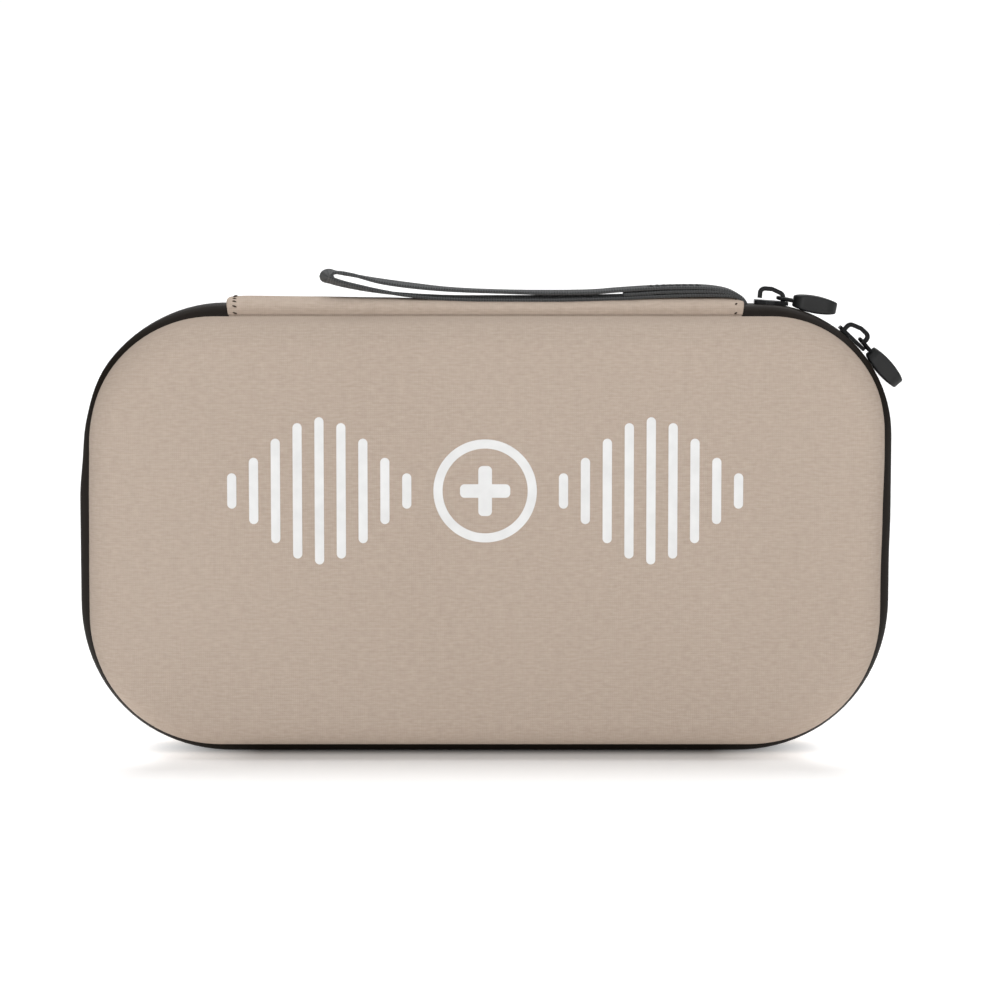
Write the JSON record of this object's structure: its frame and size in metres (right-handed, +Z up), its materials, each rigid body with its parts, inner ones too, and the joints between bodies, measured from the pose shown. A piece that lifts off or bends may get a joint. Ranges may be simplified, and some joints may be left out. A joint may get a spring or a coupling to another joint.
{
  "type": "zipped hard case",
  "caption": "Slim rounded rectangular clamshell hard case in woven fabric with a zip all round, a padded fabric spine and a flat wrist strap.",
  "frame": {"origin": "centre of the flat of the zipper band that the closed case stands on", "axes": "+X to the case's right seen from its printed front, +Y from the front into the depth, +Z up towards the spine; Y = 0 is the parting plane"},
  "size_m": [0.2839, 0.0581, 0.167],
  "materials": {
    "woven_cover": "fine woven beige fabric",
    "moulded_foam": "compression moulded EVA foam",
    "lining_fabric": "brushed knit",
    "binding_tape": "grosgrain ribbon",
    "zipper_tape": "smooth coated zipper tape",
    "zipper_coil": "nylon coil",
    "soft_padding": "foam strip",
    "strap_webbing": "dark grey woven webbing",
    "pocket_mesh": "open knit mesh",
    "pocket_elastic": "ribbed elastic",
    "elastic_band": "ribbed elastic",
    "print_ink": "matt off-white screen print",
    "slider_metal": "black satin coat",
    "pull_rubber": "matt moulded rubber"
  },
  "bodies": {
    "rear_half": {"rear_cover": "woven_cover", "rear_edge_binding": "binding_tape", "rear_lining": "lining_fabric", "rear_shell": "moulded_foam", "rear_zipper_coil": "zipper_coil", "rear_zipper_tape": "zipper_tape", "holding_band": "elastic_band", "holding_band_patches": "binding_tape"},
    "spine": {"spine_cover": "woven_cover", "spine_padding": "soft_padding", "spine_lining": "lining_fabric", "strap_anchor_tab": "strap_webbing"},
    "front_half": {"front_cover": "woven_cover", "front_edge_binding": "binding_tape", "front_lining": "lining_fabric", "front_print": "print_ink", "front_shell": "moulded_foam", "front_zipper_coil": "zipper_coil", "front_zipper_tape": "zipper_tape", "mesh_pocket_net": "pocket_mesh", "mesh_pocket_hem": "pocket_elastic"},
    "wrist_strap": {"wrist_strap_loop": "strap_webbing", "wrist_strap_tail": "strap_webbing"},
    "upper_slider": {"upper_slider_body": "slider_metal", "upper_slider_bridge": "slider_metal"},
    "upper_pull": {"upper_pull_link": "slider_metal", "upper_pull_grip": "pull_rubber"},
    "lower_slider": {"lower_slider_body": "slider_metal", "lower_slider_bridge": "slider_metal"},
    "lower_pull": {"lower_pull_link": "slider_metal", "lower_pull_grip": "pull_rubber"}
  },
  "joints": [
    {"name": "lid_fold", "type": "hinge", "parent": "spine", "child": "front_half", "pos_m": [0, -0.009, 0.151], "axis": [-1, 0, 0], "range_deg": [0, 90], "deforming": ["front_zipper_tape", "front_zipper_coil"]},
    {"name": "spine_fold", "type": "hinge", "parent": "rear_half", "child": "spine", "pos_m": [0, 0.009, 0.151], "axis": [-1, 0, 0], "range_deg": [0, 90]},
    {"name": "strap_lift", "type": "hinge", "parent": "spine", "child": "wrist_strap", "pos_m": [0.0846, 0, 0.1591], "axis": [0, 1, 0], "range_deg": [0, 90]},
    {"name": "upper_slider_run", "type": "hinge", "parent": "rear_half", "child": "upper_slider", "pos_m": [0.095, 0, 0.1096], "axis": [0, 1, 0], "range_deg": [-2, 0]},
    {"name": "lower_slider_run", "type": "hinge", "parent": "rear_half", "child": "lower_slider", "pos_m": [0.095, 0, 0.1096], "axis": [0, 1, 0], "range_deg": [0, 33]},
    {"name": "upper_pull_swing", "type": "hinge", "parent": "upper_slider", "child": "upper_pull", "pos_m": [0.10091, 0, 0.15689], "axis": [0, 1, 0], "range_deg": [-100, 0]},
    {"name": "lower_pull_swing", "type": "hinge", "parent": "lower_slider", "child": "lower_pull", "pos_m": [0.12935, 0, 0.14263], "axis": [0, 1, 0], "range_deg": [-120, 0]}
  ],
  "couplings": [
    {"joint": "spine_fold", "follows": "lid_fold", "ratio": 1}
  ]
}
